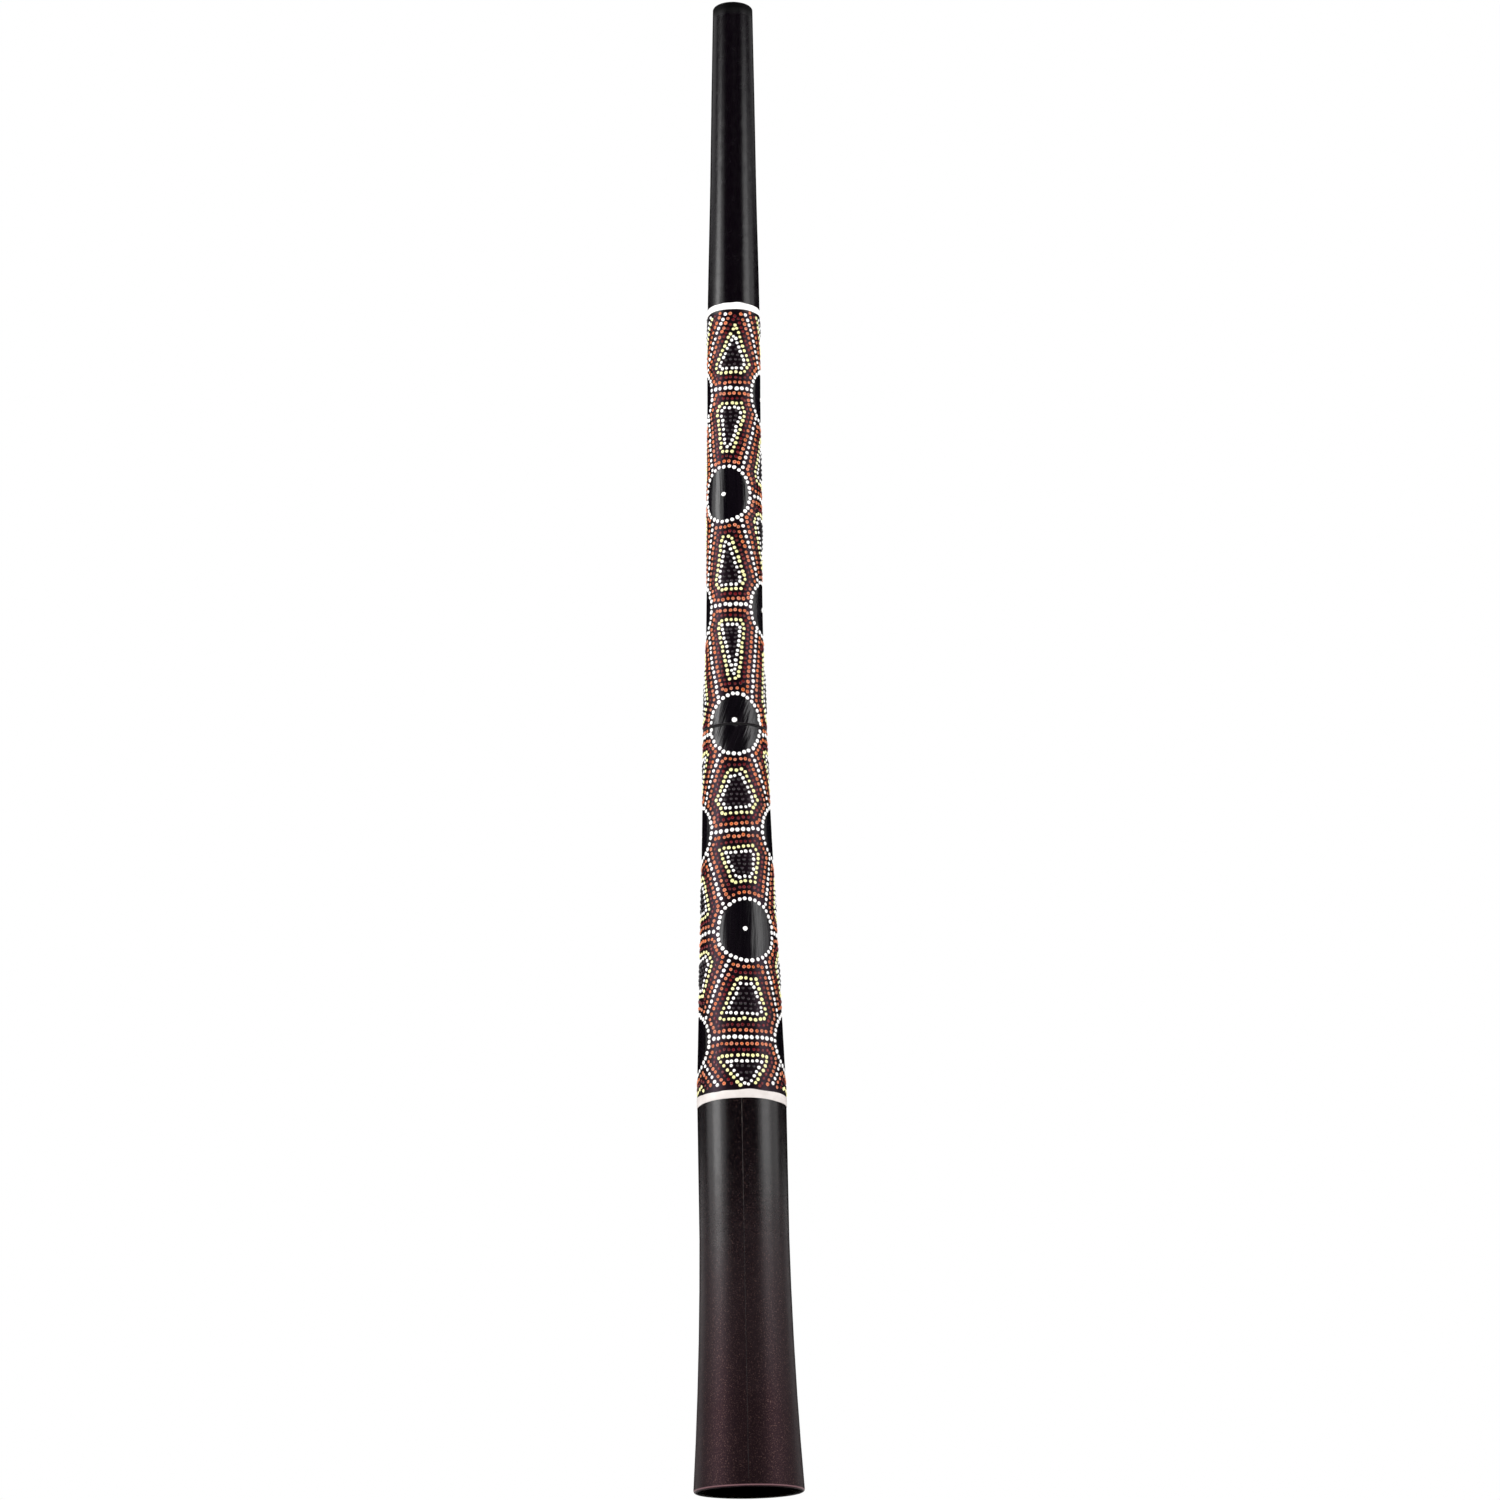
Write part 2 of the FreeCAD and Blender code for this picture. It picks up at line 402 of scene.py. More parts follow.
def ring_dots(corners, shares):
    """The rings of coloured dots inside one sub-cell, and the small black dots that fill its middle."""
    base = sum(a for a, _ in corners) / len(corners)
    radius = field_radius(sum(z for _, z in corners) / len(corners))
    flat = np.array([(math.radians(a - base) * radius, z) for a, z in corners])
    centre = deepest(flat, shares)
    growth = (radius / INSET_RADIUS) ** INSET_GROWTH

    def lay(across, up, width, paint):
        return Dot(base + math.degrees(across / radius), up, uneven(width, RING_UNEVEN), paint)

    for inset, pitch, width, paint in RINGS:
        for across, up in spaced(ring_path(flat, shares, centre, inset * growth), pitch):
            yield lay(across, up, width, paint)
    fill = ring_path(flat, shares, centre, FILL_INSET * growth)
    rows = max(1, round((fill[:, 1].max() - fill[:, 1].min()) / FILL_ROW_PITCH))
    for row in range(rows + 1):
        up = fill[:, 1].min() + (fill[:, 1].max() - fill[:, 1].min()) * row / rows
        line = [p[0] for p in fill if abs(p[1] - up) < FILL_SLICE]
        if line:
            room = max(line) - min(line)
            steps = max(0, round(room / FILL_PITCH))
            for step in range(steps + 1):
                across = min(line) + (room * step / steps if steps else room / 2)
                yield lay(across, up, FILL_DOT, "black")


def white_lines():
    """The slanting lines between neighbouring eyes and the level rows across the cells."""
    for eye, left, right, way in cells():
        left = drawn_near(left, eye.azimuth - 90)
        right = drawn_near(right, eye.azimuth + 90)
        # A slanting line borders two cells, so each is drawn once, from the middle columns' eyes.
        if eye in FRONT or eye in BACK:
            for side, share in ((left, -1), (right, 1)):
                start = rim_point(eye, share * corner_of(eye, way), way)
                end = rim_point(side, -share * corner_of(side, -way), -way)
                for azimuth, height in along(start, end, LINE_PITCH, 0.95, 0.9):
                    yield Dot(azimuth, height, uneven(LINE_DOT, LINE_UNEVEN), "white")
        # A level row borders two sub-cells of one cell, so it is drawn with the upper one.
        if way == -1:
            start = left.azimuth + left.half_angle, left.height + left.row_rise
            end = right.azimuth - right.half_angle, right.height + right.row_rise
            for azimuth, height in along(start, end, ROW_PITCH, 0.95, 0.95):
                yield Dot(azimuth, height, uneven(ROW_DOT, ROW_UNEVEN), "white")


def shown_eyes():
    return [eye for column in COLUMNS for eye in column[1:-1]]


WOBBLE_SCALE = 0.045
WOBBLE = 0.75
JITTER = 0.26


def place_of(dot, radius):
    """Where a dot sits, in millimetres, on an upright tube of that radius."""
    turn = math.radians(dot.azimuth)
    return Vector((math.sin(turn) * radius, math.cos(turn) * radius, dot.height))


def waver(dot):
    """Moves a dot as an unsteady hand would: slowly along a line, and a little at each dot."""
    radius = field_radius(dot.height)
    drift = noise.noise_vector(place_of(dot, radius) * WOBBLE_SCALE) * WOBBLE
    dot.azimuth += math.degrees((drift.x + chance.gauss(0, JITTER)) / radius)
    dot.height += drift.y + chance.gauss(0, JITTER)


BAND_OVERLAP = 0.55
JOINT_ROOM = 0.25


def in_field(dot):
    reach = dot.width * BAND_OVERLAP
    return FIELD_BOTTOM + reach < dot.height < FIELD_TOP - reach


def clear_of_joint(dot):
    """Keeps a dot whole on its own side of the joint, so that the sections still come apart."""
    reach = dot.width / 2 + JOINT_ROOM
    if JOINT_MIDDLE <= dot.height < JOINT_TOP + reach:
        dot.height = JOINT_TOP + reach
    elif JOINT_BOTTOM - reach < dot.height < JOINT_MIDDLE:
        dot.height = JOINT_BOTTOM - reach


SETTLE_ROUNDS = 10
NEIGHBOUR_REACH = 5.0
DOT_ROOM = 1.02
LEAST_GAP = 0.3
SAME_PLACE = 0.58


def settle(dots):
    """Moves crowded dots apart a little, because wet dots of paint aren't laid on each other."""
    radii = {id(d): radius_at(d.height) for d in dots}
    for _ in range(SETTLE_ROUNDS):
        places = [place_of(dot, radii[id(dot)]) for dot in dots]
        finder = kdtree.KDTree(len(dots))
        for index, place in enumerate(places):
            finder.insert(place, index)
        finder.balance()
        for index, dot in enumerate(dots):
            for _, other_index, gap in finder.find_range(places[index], NEIGHBOUR_REACH):
                if other_index <= index:
                    continue
                other = dots[other_index]
                wanted = (dot.width + other.width) / 2 * DOT_ROOM
                if gap < wanted:
                    radius = radii[id(dot)]
                    across = math.radians(near(dot.azimuth, other.azimuth) - other.azimuth) * radius
                    up = dot.height - other.height
                    push = (wanted - gap) / 2 / max(math.hypot(across, up), LEAST_GAP)
                    dot.azimuth += math.degrees(across * push / radius)
                    dot.height += up * push
                    other.azimuth -= math.degrees(across * push / radius)
                    other.height -= up * push
        for dot in dots:
            clear_of_joint(dot)
    return dots


def thinned(dots):
    """Leaves out the later one of two dots that fall nearly on the same place."""
    kept = []
    filled = {}
    for dot in dots:
        place = place_of(dot, radius_at(dot.height))
        key = tuple(int(c // NEIGHBOUR_REACH) for c in place)
        beside = [tuple(k + step for k, step in zip(key, steps)) for steps in product((-1, 0, 1), repeat=3)]
        others = [other for cell in beside for other in filled.get(cell, ())]
        if not any((other - place).length < SAME_PLACE * (dot.width + width) / 2 for other, width in others):
            filled.setdefault(key, []).append((place, dot.width))
            kept.append(dot)
    return kept


def painted_dots():
    dots = []
    for eye in shown_eyes():
        dots.extend(eye_outline(eye))
        dots.append(eye_centre(eye))
    dots.extend(white_lines())
    for eye, left, right, way in cells():
        dots.extend(ring_dots(*sub_cell(eye, left, right, way)))
    for dot in dots:
        waver(dot)
    dots = [dot for dot in dots if in_field(dot)]
    dots = settle(thinned(dots))
    return [dot for dot in dots if in_field(dot)]


# ---------------------------------------------------------------- making meshes

def new_piece(name, mesh, material, body):
    mesh.materials.append(material)
    piece = bpy.data.objects.new(name, mesh)
    bpy.context.scene.collection.objects.link(piece)
    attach(piece, body)
    return piece


def smooth(mesh):
    mesh.polygons.foreach_set("use_smooth", [True] * len(mesh.polygons))


def body_at(height):
    return "mouth_section" if height > JOINT_MIDDLE else "bell_section"


# Rings of a dot from its middle out: share of its radius, and of its height.
DOT_PROFILE = ((0.0, 0.80), (0.22, 0.90), (0.45, 1.0), (0.70, 0.86), (0.89, 0.48), (1.0, -0.12))
SMALL_PROFILE = ((0.0, 1.0), (0.45, 0.86), (0.82, 0.45), (1.0, -0.15))
DOT_HEIGHT_SHARE = 0.17
SMALL_HEIGHT_SHARE = 0.28
DOT_SIDES = 14
SMALL_SIDES = 10
HEIGHT_RANGE = (0.85, 1.15)
# How far a dot's outline strays from round, with two, three and four lobes.
LOBES = (0.055, 0.04, 0.02)
SLIP = 0.1


def add_dot(dot, points, faces, shades):
    """Adds one dome of paint. All but the small black ones dip in the middle, where the tip was."""
    point, normal = on_surface(dot.azimuth, dot.height)
    radius = dot.width / 2 * MM
    small = dot.paint == "black"
    share_of_width = SMALL_HEIGHT_SHARE if small else DOT_HEIGHT_SHARE
    height = dot.width * share_of_width * chance.uniform(*HEIGHT_RANGE) * MM
    profile = SMALL_PROFILE if small else DOT_PROFILE
    sides = SMALL_SIDES if small else DOT_SIDES
    frame_turn = normal.to_track_quat("Z", "Y").to_matrix().to_4x4()
    place = Matrix.Translation(point) @ frame_turn
    lobe = [chance.uniform(0.0, most) for most in LOBES]
    phase = [chance.uniform(0, math.tau) for _ in lobe]
    shade, wear = chance.random(), chance.random()
    slip = Vector((chance.uniform(-SLIP, SLIP), chance.uniform(-SLIP, SLIP), 0)) * radius
    start = len(points)
    points.append(place @ (Vector((0, 0, profile[0][1] * height)) + slip))
    shades.append((0.0, shade, wear, 1.0))
    for share, rise in profile[1:]:
        for side in range(sides):
            turn = math.tau * side / sides
            wave = sum(a * math.cos((k + 2) * turn + p) for k, (a, p) in enumerate(zip(lobe, phase)))
            reach = radius * share * (1 + wave)
            offset = Vector((math.cos(turn) * reach, math.sin(turn) * reach, rise * height))
            points.append(place @ (offset + slip * (1 - share)))
            shades.append((share, shade, wear, 1.0))
    for side in range(sides):
        faces.append((start, start + 1 + side, start + 1 + (side + 1) % sides))
    for ring in range(len(profile) - 2):
        inner = start + 1 + ring * sides
        for side in range(sides):
            after = (side + 1) % sides
            faces.append((inner + side, inner + sides + side, inner + sides + after, inner + after))


def dots_mesh(name, dots):
    points, faces, shades = [], [], []
    for dot in dots:
        add_dot(dot, points, faces, shades)
    mesh = bpy.data.meshes.new(name)
    mesh.from_pydata(points, [], faces)
    attribute = mesh.attributes.new("dot", "FLOAT_COLOR", "POINT")
    attribute.data.foreach_set("color", np.array(shades, np.float32).ravel())
    smooth(mesh)
    return mesh


EYE_LIFT = 0.16
EYE_STEPS = 72
EYE_RINGS = 9
EYE_EDGE = 1.02
EYE_FOLD = 1.5
SAME_LEVEL = 1e-6


def eye_patch(name, eye, material):
    """A thin patch of glossy black under an eye's dots, in two parts where it crosses the joint."""
    if abs(eye.height - JOINT_MIDDLE) > eye.half_height:
        new_piece(name, eye_patch_mesh(name, eye, None, 0), material, body_at(eye.height))
        return
    for part, cut, way in (("_upper", JOINT_TOP + JOINT_ROOM, 1), ("_lower", JOINT_BOTTOM - JOINT_ROOM, -1)):
        mesh = eye_patch_mesh(name + part, eye, cut, way)
        new_piece(name + part, mesh, material, body_at(cut))


def eye_patch_mesh(name, eye, cut, way):
    """The patch's mesh: all of it, or what lies above (way +1) or below (way -1) a cut height."""
    points, faces = [], []
    for ring in range(EYE_RINGS + 1):
        share = ring / EYE_RINGS
        lift = EYE_LIFT if ring < EYE_RINGS else -EYE_LIFT
        reach = share if ring < EYE_RINGS else EYE_EDGE
        for step in range(EYE_STEPS if ring else 1):
            turn = math.tau * step / EYE_STEPS
            azimuth = eye.azimuth + eye.half_angle * reach * math.cos(turn)
            point, normal = on_surface(azimuth, eye.height + eye.half_height * reach * math.sin(turn))
            points.append(point + normal * lift * MM)
    for step in range(EYE_STEPS):
        after = (step + 1) % EYE_STEPS
        faces.append((0, 1 + step, 1 + after))
    for ring in range(EYE_RINGS - 1):
        inner = 1 + ring * EYE_STEPS
        outer = inner + EYE_STEPS
        for step in range(EYE_STEPS):
            after = (step + 1) % EYE_STEPS
            faces.append((inner + step, outer + step, outer + after, inner + after))
    mesh = bpy.data.meshes.new(name)
    mesh.from_pydata(points, [], faces)
    if cut is not None:
        cut_patch(mesh, cut, way)
    smooth(mesh)
    return mesh


def cut_patch(mesh, cut, way):
    """Cuts a patch level at a height, keeps one side of it, and turns the cut edge down to the tube."""
    work = bmesh.new()
    work.from_mesh(mesh)
    parts = list(work.verts) + list(work.edges) + list(work.faces)
    level = cut * MM
    bmesh.ops.bisect_plane(
        work, geom=parts, dist=SAME_LEVEL, plane_co=(0, 0, level), plane_no=(0, 0, way), clear_inner=True
    )
    rim = [edge for edge in work.edges if edge.is_boundary]
    edges = [edge for edge in rim if all(abs(v.co.z - level) < SAME_LEVEL for v in edge.verts)]
    folded = bmesh.ops.extrude_edge_only(work, edges=edges)["geom"]
    for vert in (part for part in folded if isinstance(part, bmesh.types.BMVert)):
        inward = Vector((axis_x(cut) - vert.co.x, -vert.co.y, 0)).normalized()
        vert.co += inward * EYE_LIFT * EYE_FOLD * MM
    bmesh.ops.recalc_face_normals(work, faces=work.faces)
    work.to_mesh(mesh)
    work.free()


BAND_STEPS = 220
BAND_THICKNESS = 0.42
BAND_SINK = 0.12
BAND_WAVES = 2.2
BAND_UNEVEN = 0.12
# Points up across a band: share of its width, and of its thickness. The first and last are in the wood.
BAND_PROFILE = (
    (0.0, -BAND_SINK), (0.02, 0.55), (0.1, 0.92), (0.3, 1.0), (0.5, 0.96), (0.72, 1.0), (0.9, 0.9),
    (0.98, 0.5), (1.0, -BAND_SINK),
)


def band_mesh(name, low, high, low_wave, high_wave, lean_z, side_drop=0.0):
    """A ring of thick brushed paint whose edges waver, closed on its inside.

    Towards +X it sinks by lean_z and towards -X it rises by it. Its lower edge hangs by side_drop at both.
    """
    points, faces = [], []
    for step in range(BAND_STEPS):
        azimuth = 360 * step / BAND_STEPS
        turn = math.radians(azimuth)
        round_place = Vector((math.cos(turn), math.sin(turn), 0)) * BAND_WAVES
        lower = low + low_wave * noise.noise(round_place + Vector((0, 0, 5)))
        lower -= side_drop * math.sin(turn) ** 2
        upper = high + high_wave * noise.noise(round_place + Vector((0, 0, 11)))
        tip = -lean_z * math.sin(turn)
        for share, rise in BAND_PROFILE:
            height = lower + (upper - lower) * share + tip
            point, normal = on_surface(azimuth, height)
            out = Vector((normal.x, normal.y, 0)).normalized()
            thick = BAND_THICKNESS if rise > 0 else 1.0
            uneven_coat = 1 + BAND_UNEVEN * noise.noise(Vector((turn * 6, share * 5, low)))
            points.append(point + out * rise * thick * uneven_coat * MM)
    count = len(BAND_PROFILE)
    for step in range(BAND_STEPS):
        after = (step + 1) % BAND_STEPS
        for row in range(count - 1):
            a, b = step * count + row, after * count + row
            faces.append((a, b, b + 1, a + 1))
        faces.append((step * count + count - 1, after * count + count - 1, after * count, step * count))
    mesh = bpy.data.meshes.new(name)
    mesh.from_pydata(points, [], faces)
    smooth(mesh)
    return mesh


SEAM_WIDTH = 0.34
SEAM_RISE = 0.07
SEAM_STEPS = 90
SEAM_UNEVEN = 0.35
SEAM_SWAY = 0.18
SEAM_PROFILE = ((-0.5, -0.5), (-0.25, 0.8), (0.0, 1.0), (0.25, 0.8), (0.5, -0.5))


def seam_mesh(name, azimuth, low, high):
    """The thin line of glue that stands proud where the two half shells meet."""
    points, faces = [], []
    for step in range(SEAM_STEPS + 1):
        height = low + (high - low) * step / SEAM_STEPS
        width = SEAM_WIDTH * (1 + SEAM_UNEVEN * noise.noise(Vector((azimuth, height * 0.06, 0))))
        sway = SEAM_SWAY * noise.noise(Vector((azimuth, height * 0.02, 9)))
        radius = radius_at(height)
        for share, rise in SEAM_PROFILE:
            point, normal = on_surface(azimuth + math.degrees((share * width + sway) / radius), height)
            points.append(point + normal * rise * SEAM_RISE * MM)
    count = len(SEAM_PROFILE)
    for step in range(SEAM_STEPS):
        for row in range(count - 1):
            a = step * count + row
            faces.append((a, a + 1, a + count + 1, a + count))
    mesh = bpy.data.meshes.new(name)
    mesh.from_pydata(points, [], faces)
    smooth(mesh)
    return mesh


# ---------------------------------------------------------------- materials

class Maker:
    """Short calls for building one material's nodes."""

    def __init__(self, name):
        self.material = bpy.data.materials.new(name)
        self.material.use_nodes = True
        self.tree = self.material.node_tree
        self.shader = self.tree.nodes["Principled BSDF"]

    def node(self, kind, **settings):
        made = self.tree.nodes.new(kind)
        for key, value in settings.items():
            setattr(made, key, value)
        return made

    def link(self, source, target):
        self.tree.links.new(source, target)

    def place(self):
        return self.node("ShaderNodeTexCoord").outputs["Object"]

    def stretched(self, x, y, z):
        """Object coordinates scaled along each axis."""
        mapping = self.node("ShaderNodeMapping")
        mapping.inputs["Scale"].default_value = (x, y, z)
        self.link(self.place(), mapping.inputs["Vector"])
        return mapping.outputs["Vector"]

    def noise(self, vector, scale, detail=3.0, rough=0.55):
        made = self.node("ShaderNodeTexNoise")
        made.inputs["Scale"].default_value = scale
        made.inputs["Detail"].default_value = detail
        made.inputs["Roughness"].default_value = rough
        self.link(vector, made.inputs["Vector"])
        return made.outputs["Fac"]

    def range(self, value, low, high, to_low=0.0, to_high=1.0):
        made = self.node("ShaderNodeMapRange")
        for name, number in (("From Min", low), ("From Max", high), ("To Min", to_low), ("To Max", to_high)):
            made.inputs[name].default_value = number
        self.link(value, made.inputs["Value"])
        return made.outputs["Result"]

    def ramp(self, value, *stops):
        made = self.node("ShaderNodeValToRGB")
        elements = made.color_ramp.elements
        while len(elements) < len(stops):
            elements.new(0.5)
        for element, (position, colour) in zip(elements, stops):
            element.position = position
            element.color = (*colour, 1)
        self.link(value, made.inputs["Fac"])
        return made.outputs["Color"]

    def mix(self, share, first, second):
        made = self.node("ShaderNodeMix", data_type="RGBA")
        for value, socket in ((share, made.inputs[0]), (first, made.inputs[6]), (second, made.inputs[7])):
            if isinstance(value, bpy.types.NodeSocket):
                self.link(value, socket)
            elif isinstance(value, tuple):
                socket.default_value = (*value, 1)
            else:
                socket.default_value = value
        return made.outputs[2]

    def math(self, operation, first, second=0.0):
        made = self.node("ShaderNodeMath", operation=operation)
        for value, socket in ((first, made.inputs[0]), (second, made.inputs[1])):
            if isinstance(value, bpy.types.NodeSocket):
                self.link(value, socket)
            else:
                socket.default_value = value
        return made.outputs[0]

    def bump(self, height, strength, distance, before=None):
        made = self.node("ShaderNodeBump")
        made.inputs["Strength"].default_value = strength
        made.inputs["Distance"].default_value = distance
        self.link(height, made.inputs["Height"])
        if before is not None:
            self.link(before, made.inputs["Normal"])
        return made.outputs["Normal"]

    def finish(self, colour=None, roughness=None, normal=None):
        for value, name in ((colour, "Base Color"), (roughness, "Roughness"), (normal, "Normal")):
            if value is not None:
                self.link(value, self.shader.inputs[name])
        return self.material


def linear(red, green, blue):
    """A colour given as it looks on a screen, 0 to 255, as the shader needs it."""
    def channel(value):
        value /= 255
        return value / 12.92 if value <= 0.04045 else ((value + 0.055) / 1.055) ** 2.4
    return channel(red), channel(green), channel(blue)


FIELD_METALLIC = 0.75
# How metallic the mouth's painted shade at the top is; over its near-black colour almost no reflection is
# left.
TOP_SHADE_METALLIC = 0.8


def lacquer(name, dark, warm, speck, smooth_gloss, rough_gloss, peel, bell_metallic, lean):
    """Dark satin lacquer outside, varnished wood in the bore.

    Towards the bell it turns browner and rougher, with fine light specks. Under the painting it is
    purplish black. The mouth's end is painted blacker and duller, a painted shade on its rounded top.
    At all three it is partly metallic, only because that dims and tints the gloss as the photo shows it.
    """
    m = Maker(name)
    place = m.place()
    parts = m.node("ShaderNodeSeparateXYZ")
    m.link(place, parts.inputs[0])
    height = parts.outputs[2]
    cloud = m.noise(m.stretched(30, 30, 9), 1.0, 4.0)
    drift = m.math("ADD", height, m.math("MULTIPLY", m.math("SUBTRACT", cloud, 0.5), 0.12))
    bell_end = m.range(drift, 0.27, 0.07)
    coat = m.mix(bell_end, dark, warm)
    specks = m.range(m.noise(place, 1000, 2.0, 0.6), 0.55, 0.75)
    coat = m.mix(m.math("MULTIPLY", specks, m.range(bell_end, 0, 1, 0.12, 0.5)), coat, speck)

    above = m.math("MAXIMUM", m.math("SUBTRACT", height, JOINT_TOP * MM), 0.0)
    across = m.node("ShaderNodeCombineXYZ")
    m.link(m.math("SUBTRACT", parts.outputs[0], m.math("MULTIPLY", above, lean)), across.inputs[0])
    m.link(parts.outputs[1], across.inputs[1])
    outward = m.node("ShaderNodeVectorMath", operation="DOT_PRODUCT")
    m.link(across.outputs[0], outward.inputs[0])
    m.link(m.node("ShaderNodeTexCoord").outputs["Normal"], outward.inputs[1])
    bore = m.range(outward.outputs["Value"], -0.004, -0.006)

    grain = m.noise(m.stretched(420, 420, 14), 1.0, 5.0, 0.65)
    wood = m.ramp(grain, (0.25, linear(74, 44, 26)), (0.5, linear(122, 78, 46)), (0.75, linear(158, 108, 66)))
    above_low = m.range(height, FIELD_BOTTOM * MM - 0.002, FIELD_BOTTOM * MM)
    below_high = m.range(height, FIELD_TOP * MM, FIELD_TOP * MM - 0.002)
    field = m.math("MULTIPLY", above_low, below_high)
    undercoat = m.mix(m.noise(place, 300, 3.0), linear(20, 9, 17), linear(40, 21, 35))
    # Painted highlight: a thin pale pink line 0.6 to 2.1 mm up the bell's outside, where the rim's edge
    # catches light.
    below_rim_highlight_top = m.range(height, 0.0021, 0.0015)
    rim = m.math("MULTIPLY", below_rim_highlight_top, m.range(height, 0.0006, 0.0012))
    rim = m.math("MULTIPLY", rim, m.range(bore, 1, 0))
    # Painted shade: the mouth's top 5 to 12 mm are coloured near black, made duller, and made metallic over
    # that dark colour so they reflect almost nothing.
    painted_shade_top = m.range(height, MOUTH_TOP * MM - 0.012, MOUTH_TOP * MM - 0.005)
    coat = m.mix(painted_shade_top, m.mix(field, coat, undercoat), linear(4, 2, 4))
    coat = m.mix(rim, coat, linear(150, 112, 118))
    colour = m.mix(bore, coat, wood)

    patches = m.range(m.noise(place, 160, 4.0, 0.7), 0.35, 0.75, -0.04, 0.06)
    gloss = m.math("ADD", m.range(bell_end, 0, 1, smooth_gloss, rough_gloss), patches)
    gloss = m.math("ADD", gloss, m.range(field, 0, 1, 0.0, 0.1))
    gloss = m.math("ADD", gloss, m.range(painted_shade_top, 0, 1, 0.0, 0.3))
    metallic = m.math("MULTIPLY", bell_end, bell_metallic)
    metallic = m.math("MAXIMUM", metallic, m.math("MULTIPLY", field, FIELD_METALLIC))
    metallic = m.math("MAXIMUM", metallic, m.math("MULTIPLY", painted_shade_top, TOP_SHADE_METALLIC))
    m.link(m.math("MULTIPLY", metallic, m.range(bore, 1, 0)), m.shader.inputs["Metallic"])
    normal = m.bump(m.noise(place, 1100, 2.0, 0.5), peel, 0.00008)
    normal = m.bump(m.noise(m.stretched(300, 300, 9), 1.0, 3.0), 0.10, 0.0004, normal)
    return m.finish(colour, gloss, normal)


def brushed_black(name, slant, gloss, relief):
    """Glossy black enamel with the marks of a brush drawn down it, at a slant in degrees."""
    m = Maker(name)
    turned = m.node("ShaderNodeMapping")
    turned.inputs["Rotation"].default_value = (0, math.radians(slant), 0)
    m.link(m.place(), turned.inputs["Vector"])

    def strokes(across, down, detail):
        squeezed = m.node("ShaderNodeMapping")
        squeezed.inputs["Scale"].default_value = (across, across, down)
        m.link(turned.outputs["Vector"], squeezed.inputs["Vector"])
        return m.noise(squeezed.outputs["Vector"], 1.0, detail, 0.6)

    streaks = strokes(900, 16, 3.0)
    broad = strokes(240, 9, 2.0)
    colour = m.mix(m.range(broad, 0.3, 0.7), linear(5, 3, 7), linear(15, 10, 16))
    roughness = m.range(streaks, 0.3, 0.7, gloss - 0.05, gloss + 0.07)
    normal = m.bump(streaks, relief * 0.5, 0.0003)
    normal = m.bump(broad, relief, 0.0012, normal)
    return m.finish(colour, roughness, normal)


def dot_paint(name, core, body, rim, roughness, spread=0.12):
    """Raised dot of paint: thin in its dip, full on its crest, and thin again at its edge.
    The small black dots have no dip, and their lighter core is a painted highlight on the crest.
    """
    m = Maker(name)
    attribute = m.node("ShaderNodeAttribute", attribute_type="GEOMETRY", attribute_name="dot")
    parts = m.node("ShaderNodeSeparateColor")
    m.link(attribute.outputs["Color"], parts.inputs[0])
    ripple = m.noise(m.place(), 1400, 2.0, 0.6)
    share = m.math("ADD", parts.outputs[0], m.math("MULTIPLY", m.math("SUBTRACT", ripple, 0.5), 0.3))
    colour = m.ramp(share, (0.0, core), (0.34, core), (0.6, body), (0.82, body), (1.0, rim))
    shift = m.node("ShaderNodeHueSaturation")
    m.link(m.range(parts.outputs[1], 0, 1, 1 - spread, 1 + spread * 0.6), shift.inputs["Value"])
    m.link(m.range(parts.outputs[2], 0, 1, 0.9, 1.05), shift.inputs["Saturation"])
    m.link(colour, shift.inputs["Color"])
    gloss = m.range(ripple, 0.3, 0.7, roughness - 0.05, roughness + 0.08)
    normal = m.bump(m.noise(m.place(), 700, 2.0), 0.18, 0.0003)
    return m.finish(shift.outputs["Color"], gloss, normal)


def band_paint(name, light, shade):
    """White paint brushed round the tube, with the faint lines that the bristles leave."""
    m = Maker(name)
    bristles = m.noise(m.stretched(60, 60, 1900), 1.0, 3.0, 0.6)
    blotch = m.noise(m.place(), 60, 3.0)
    colour = m.mix(m.range(blotch, 0.35, 0.7), light, shade)
    colour = m.mix(m.range(bristles, 0.55, 0.8, 0.0, 0.25), colour, shade)
    normal = m.bump(bristles, 0.35, 0.0003)
    return m.finish(colour, m.range(blotch, 0.3, 0.7, 0.38, 0.5), normal)


def rubber(name, dark, light, roughness):
    """Black rubber, dusty in places, with the fine grain of its mould."""
    m = Maker(name)
    colour = m.mix(m.range(m.noise(m.place(), 240, 4.0), 0.35, 0.7), dark, light)
    normal = m.bump(m.noise(m.place(), 2600, 2.0), 0.15, 0.0002)
    gloss = m.range(m.noise(m.place(), 500, 3.0), 0.3, 0.7, roughness, roughness + 0.12)
    return m.finish(colour, gloss, normal)


def turned_plastic(name):
    """Dark grey acetal tube with the fine rings that turning leaves."""
    m = Maker(name)
    rings = m.noise(m.stretched(20, 20, 4200), 1.0, 2.0)
    colour = m.mix(m.range(m.noise(m.place(), 90, 3.0), 0.3, 0.7), linear(30, 30, 32), linear(44, 44, 47))
    return m.finish(colour, m.range(rings, 0.3, 0.7, 0.3, 0.42), m.bump(rings, 0.25, 0.0002))


# ---------------------------------------------------------------- pieces

